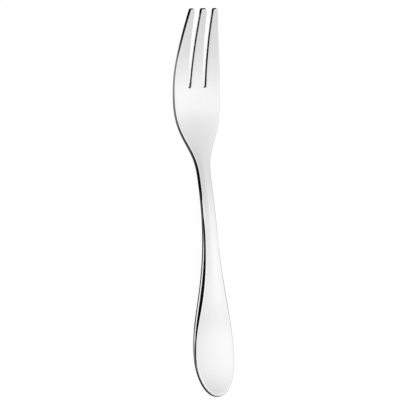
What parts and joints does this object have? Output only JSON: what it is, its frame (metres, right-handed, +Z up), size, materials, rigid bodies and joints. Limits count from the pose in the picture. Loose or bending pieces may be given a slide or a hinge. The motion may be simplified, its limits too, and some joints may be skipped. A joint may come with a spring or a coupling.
{
  "type": "pastry fork",
  "caption": "Small polished steel fork for cake and pastry, with tapering blunt tines, a curved head, an arched neck and a rounded paddle handle.",
  "frame": {"origin": "on the table under the middle of the fork, as it lies face up", "axes": "+Y towards the tips of the tines, +X to the right seen from above, +Z up out of the fork's face"},
  "size_m": [0.0196, 0.1497, 0.0138],
  "materials": {
    "steel": "polished"
  },
  "bodies": {
    "root": {"handle": "steel", "neck": "steel", "head": "steel", "tine_left": "steel", "tine_middle": "steel", "tine_right": "steel"}
  },
  "joints": []
}
